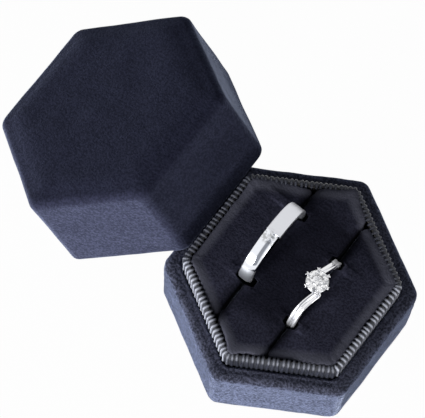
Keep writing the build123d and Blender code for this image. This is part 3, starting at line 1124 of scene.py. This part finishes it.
# %% Shank
groove_depth = 0.3 * MM
shank_bevel = 0.26 * MM
arm_end = 6.0  # degrees from the top
tip_length = 7.0  # degrees over which an arm is rounded off
tip_height = 0.25  # how high its blunt end stays, of its full height
bypass = 1.9 * MM
bypass_from = 55.0
wide_arm = 1.04
narrow_arm = 0.7  # at the top; it reaches its full width at narrow_from degrees
narrow_from = 120
shank_rubbed = 6.1 * MM  # above the ring's centre the arms are satin up to here
shank_metal = white_metal("shank_metal", 0.05, satin_below=shank_centre.z + shank_rubbed)

shank = ring_section("solitaire_shank_metal", shank_width, shank_thickness, shank_outer)
bpy.ops.mesh.bevel(offset=shank_bevel, segments=3, affect="VERTICES")
pick(shank, "edges", lambda edge: edge.calc_length() > shank_width / 2)
bpy.ops.mesh.subdivide(number_cuts=15)
for vertex in bmesh.from_edit_mesh(shank.data).verts:
    if vertex.co.y > shank_thickness / 2 - 0.01 * MM:
        rail = abs(math.sin(math.pi * vertex.co.x / (shank_width - 2 * shank_bevel)))
        vertex.co.y -= groove_depth * (1 - rail**0.8)
pick(shank, "faces")
bpy.ops.mesh.spin(
    steps=150, angle=math.radians(360 - 2 * arm_end), center=(0, 0, 0), axis=(1, 0, 0), use_auto_merge=False
)
point_outwards()
put(shank, Matrix.Translation(shank_centre) @ Matrix.Rotation(math.radians(90 - arm_end), 4, "X"))
mid_radius = shank_outer - shank_thickness / 2
for vertex in shank.data.vertices:
    spoke = Vector((0, vertex.co.y - shank_centre.y, vertex.co.z - shank_centre.z))
    from_top = math.degrees(spoke.angle(Vector((0, 0, 1))))
    towards_viewer = spoke.y < 0
    tip = clamp((from_top - arm_end) / tip_length)
    rounding = max(math.sqrt(1 - (1 - tip) ** 2), tip_height)
    narrowing = wide_arm if towards_viewer else 1 - (1 - narrow_arm) * (1 - min(from_top / narrow_from, 1))
    along = vertex.co.x - shank_centre.x
    swing = bypass * (1 - math.sin(math.radians(90 * min(from_top / bypass_from, 1))))
    radius = mid_radius + (spoke.length - mid_radius) * rounding
    sideways = along * narrowing * rounding + (swing if towards_viewer else -swing)
    vertex.co = shank_centre + spoke.normalized() * radius + Vector((sideways, 0, 0))
dress(shank, shank_metal, 40)
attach(shank, "solitaire_ring")
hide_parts("solitaire_shank")

# %% [markdown]
# ## The head
#
# The stone stands in a basket: a small foot, two gallery rails and six claws that lean
# outwards and hook over the edge of the stone with split, fishtail ends. One claw is extruded
# ring by ring and copied round.

# %% Stone measures
stone_low, stone_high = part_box("solitaire_stone")
stone_place = Matrix.Translation(((stone_low[0] + stone_high[0]) / 2, (stone_low[1] + stone_high[1]) / 2, 0))
stone_radius = (stone_high[0] - stone_low[0]) / 2
culet_z = stone_low[2]
table_z = stone_high[2]
crown_height = 0.8 * MM
girdle_height = 0.15 * MM
crown_z = table_z - crown_height
girdle_z = crown_z - girdle_height
head_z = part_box("solitaire_head")[0][2]
print("stone", round(2 * stone_radius / MM, 2), "mm across")

# %% One claw
claw_count = 6
claw_x = 0.75 * MM
claw_z = head_z + 0.35 * MM
# Each ring of a claw: outside the stone's edge and above its crown's foot, in mm, and how
# thick and how wide it is against the ring before.
claw_rings = (
    (0.12, -0.35, 1.0, 1.0),
    (0.24, 0.02, 1.0, 1.1),
    (0.2, 0.3, 0.85, 1.15),
    (-0.02, 0.46, 0.8, 0.9),
    (-0.3, 0.42, 0.55, 0.7),
)
lobe_size = (1.5, 0.9, 0.8)
lobe_turn = math.radians(28)

clear_selection()
bpy.ops.mesh.primitive_circle_add(
    vertices=10, radius=0.27 * MM, fill_type="NGON", location=(claw_x, 0, claw_z)
)
stem = adopt("claw")
select_all()
for outside, above, thick, wide in claw_rings:
    next_x, next_z = stone_radius + outside * MM, crown_z + above * MM
    step = (next_x - claw_x, 0, next_z - claw_z)
    bpy.ops.mesh.extrude_region_move(TRANSFORM_OT_translate={"value": step})
    bpy.ops.transform.resize(value=(thick, wide, thick))
    claw_x, claw_z = next_x, next_z
point_outwards()
claw_parts = [put(stem)]
for side in (-1, 1):
    place = (stone_radius + 0.28 * MM, side * 0.22 * MM, crown_z + 0.22 * MM)
    clear_selection()
    bpy.ops.mesh.primitive_uv_sphere_add(segments=14, ring_count=9, radius=0.17 * MM, location=place)
    lobe = adopt("lobe")
    select_all()
    bpy.ops.transform.resize(value=lobe_size)
    bpy.ops.transform.rotate(value=-side * lobe_turn, orient_axis="Z", center_override=place)
    claw_parts.append(put(lobe))
claw = join(claw_parts, "claw")

# %% Head
gallery_rails = (
    (stone_radius - 0.12 * MM, 0.2 * MM, girdle_z - 0.32 * MM),  # radius, thickness, height
    (1.45 * MM, 0.17 * MM, culet_z + 0.75 * MM),
)
rail_height = 1.35  # a rail's section is that much higher than wide
foot_height = 0.8 * MM

head_parts = []
for number in range(claw_count):
    place = Matrix.Rotation(2 * math.pi * number / claw_count, 4, "Z")
    head_parts.append(put(duplicate(claw, f"claw_{number}", place)))
bpy.data.objects.remove(claw)
for radius, thickness, height in gallery_rails:
    clear_selection()
    bpy.ops.mesh.primitive_torus_add(
        major_radius=radius,
        minor_radius=thickness,
        major_segments=64,
        minor_segments=12,
        location=(0, 0, height),
    )
    rail = adopt("rail")
    select_all()
    bpy.ops.transform.resize(value=(1, 1, rail_height), center_override=(0, 0, height))
    head_parts.append(put(rail))
clear_selection()
bpy.ops.mesh.primitive_cone_add(
    vertices=32,
    radius1=0.85 * MM,
    radius2=1.1 * MM,
    depth=foot_height,
    location=(0, 0, head_z + foot_height / 2),
)
foot = adopt("foot")
pick(foot, "edges", lambda edge: rise(edge) < 0.1 * MM)
bpy.ops.mesh.bevel(offset=0.12 * MM, segments=3, affect="EDGES")
head_parts.append(put(foot))
head = put(join(head_parts, "solitaire_head_metal"), stone_place)
dress(head, white_metal("head_metal", 0.1, (0.66, 0.66, 0.68)), 50)
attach(head, "solitaire_ring")
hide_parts("solitaire_head")

# %% [markdown]
# ## The stone
#
# A round brilliant is flat facets between a few rings of points: the table, the kites of the
# crown, the girdle, the mains of the pavilion and the culet. The rings are added as circles,
# and a convex hull stretches the facets between them.

# %% Stone
facet_rings = (  # points, radius, height, and the turn in shares of a step
    (8, 1.4 * MM, table_z, 0.5),
    (8, 2.02 * MM, crown_z + 0.42 * crown_height, 0.0),
    (16, stone_radius, crown_z, 0.0),
    (16, stone_radius, girdle_z, 0.0),
    (8, 1.45 * MM, girdle_z - 0.46 * (girdle_z - culet_z), 0.0),
    (3, 0.03 * MM, culet_z, 0.0),
)
rings = []
for count, radius, height, turn in facet_rings:
    clear_selection()
    bpy.ops.mesh.primitive_circle_add(
        vertices=count, radius=radius, location=(0, 0, height), rotation=(0, 0, turn * 2 * math.pi / count)
    )
    rings.append(bpy.context.object)
stone = join(rings, "solitaire_stone_cut")
bpy.ops.object.mode_set(mode="EDIT")
select_all()
bpy.ops.mesh.convex_hull(join_triangles=True)
point_outwards()
put(stone, stone_place)
stone_shader = Shader("brilliant")
stone.data.materials.append(
    stone_shader.surface(
        Base_Color=stone_shader.mix(stone_shader.noise(500, detail=1), (0.97, 0.97, 1.0), (1, 1, 1)),
        Roughness=0.0,
        IOR=2.42,
        Transmission_Weight=1.0,
    )
)
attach(stone, "solitaire_ring")
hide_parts("solitaire_stone")
print("stone:", len(stone.data.polygons), "facets")

# %% [markdown]
# ## Inside the lid
#
# The lid is lined with satin. A thin pad closes its top, so that the rings touch nothing
# hard. It is a shallow pillow: full in the middle and drawn in at the edge.

# %% Lid pad
pad_low, pad_high = (reach - lid_rim for reach in span("lid_inner_pad", lid_up))
pad_west, pad_east = span("lid_inner_pad", lid_across)
pad_across = (pad_east - pad_west) / 2 - 0.1 * MM
pad_corner = 1.2 * MM
pad_steps = ((0, 0), (0, 0.3), (0.12, 0.65), (0.5, 0.92), (1.2, 1.12), (2.4, 1.25), (4.2, 1.33))
pad_middle = (pole_radius, pad_low)
pad_rows = sunk_rows((pad_across, pad_high), pad_steps)
pad_rows += straight_rows(pad_rows[-1], pad_middle, 2 * row_gap) + [pad_middle]
lid_pad = hexagon_loft("lid_pad", pad_rows, pad_corner, row_gap)
bpy.ops.mesh.merge(type="CENTER")
pick(lid_pad, "edges", lambda edge: edge.is_boundary)
bpy.ops.mesh.edge_face_add()
point_outwards()
put(lid_pad, lid_place)
unevenness(lid_pad, 0.22 * MM, 9 * MM)
refine(lid_pad)
lining_satin = satin("lining_satin", (0.012, 0.013, 0.020), (0.030, 0.033, 0.048), 0.42, thread=900)
dress(lid_pad, lining_satin)
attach(lid_pad, "lid")
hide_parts("lid_inner_pad")

# %% [markdown]
# ## The pieces that keep their own shape
#
# The stiff shells, the collar, the foam and the card foot are right as they come. Most of
# them are hidden, but each still gets the finish of what it is made of.

# %% Materials of the carried pieces


def grainy(name, dark, light, scale, roughness, height):
    """Plastic, card or foam: a mottled colour and a grain of its own size."""
    shader = Shader(name)
    grain = shader.noise(scale, detail=4, roughness=0.65)
    cloud = shader.noise(scale / 9)
    return shader.surface(
        Base_Color=shader.mix((grain + cloud) * 0.5, dark, light),
        Roughness=grain * 0.15 + roughness,
        Normal=shader.bump(grain, 0.6, height),
    )


moulded = grainy("moulded_plastic", (0.015, 0.015, 0.018), (0.03, 0.03, 0.035), 1400, 0.4, 0.04 * MM)
card = grainy("grey_card", (0.07, 0.065, 0.06), (0.15, 0.14, 0.13), 900, 0.8, 0.05 * MM)
foam = grainy("charcoal_foam", (0.02, 0.02, 0.022), (0.07, 0.07, 0.075), 2200, 0.85, 0.25 * MM)
flock = velvet("flocked_card", (0.03, 0.03, 0.05), (0.08, 0.085, 0.12), 0.3, relief=0.4, sheen=0.3)
carried = {
    moulded: ("base_shell", "lid_shell"),
    card: ("collar", "cushion_board"),
    foam: ("base_foam", "cushion_core_left", "cushion_core_middle", "cushion_core_right", "lid_top_foam"),
    flock: ("base_foot_sheet",),
    lining_satin: ("lid_liner",),
}
for material, names in carried.items():
    for node in names:
        nodes[node].data.materials.clear()
        nodes[node].data.materials.append(material)
    print(material.name, "on", ", ".join(names))

# %% [markdown]
# ## Floor, light and world
#
# The box stands on a pale sheet under broad soft light. The strongest lamp stands low on the
# side of the picture's lower edge, which is why the walls that face it glow and the tops stay
# dark. The sheet and the sky look white to the camera, to metal and through the stone without
# lighting the box any more. A dark flag in that sky gives the polished metal its streaks.

# %% Floor
bpy.ops.mesh.primitive_plane_add(size=3.0, location=(0, 0, -0.02 * MM))
floor = bpy.context.object
floor.name = "floor"
floor_shader = Shader("floor_sheet")
straight, mirrored = floor_shader.rays("Camera", "Glossy")
seen = straight.highest(mirrored) * 0.98
paper = floor_shader.node("ShaderNodeBsdfDiffuse", {}, {"Color": (0.8, 0.8, 0.8)})
glow = floor_shader.node("ShaderNodeEmission", {}, {"Color": (1, 1, 1), "Strength": 1.0})
sheet = floor_shader.node("ShaderNodeMixShader", {}, (seen, paper, glow))
floor.data.materials.append(floor_shader.show(sheet))

# %% Sky
ambient = 0.13
flag_dark = 0.78  # how much of the white the dark flag takes away
world = bpy.data.worlds.new("studio")
bpy.context.scene.world = world
sky = Shader("studio", world)
east, north = sky.parts()[:2]
straight, mirrored, refracted = sky.rays("Camera", "Glossy", "Transmission")
flag = east.above(0.0, 0.07) * (1 - east.above(0.5, 0.08)) * (north * -1).above(0.0, 0.1)
white = straight.highest(mirrored.highest(refracted) * (1 - flag * flag_dark))
tint = sky.mix(white, (0.85, 0.9, 1.0), (1, 1, 1))
light = {"Color": tint, "Strength": white * (1 - ambient) + ambient}
sky.show(sky.node("ShaderNodeBackground", {}, light))

# %% Lamps


def lamp(name, place, target, size, power, colour=(1, 1, 1)):
    """A round soft lamp that looks at its target."""
    data = bpy.data.lights.new(name, "AREA")
    data.shape = "DISK"
    data.size = size
    data.energy = power
    data.color = colour
    lamp_object = bpy.data.objects.new(name, data)
    bpy.context.collection.objects.link(lamp_object)
    lamp_object.location = place
    lamp_object.rotation_euler = (Vector(target) - Vector(place)).to_track_quat("-Z", "Y").to_euler()


lamp("key", (-0.15, -0.9, 0.2), (-0.02, 0, 0.02), 0.5, 9, (0.94, 0.96, 1.0))
lamp("fill", (0.8, -0.35, 0.25), (0, 0, 0.02), 0.4, 1.9)
bpy.context.scene.view_settings.view_transform = "Standard"
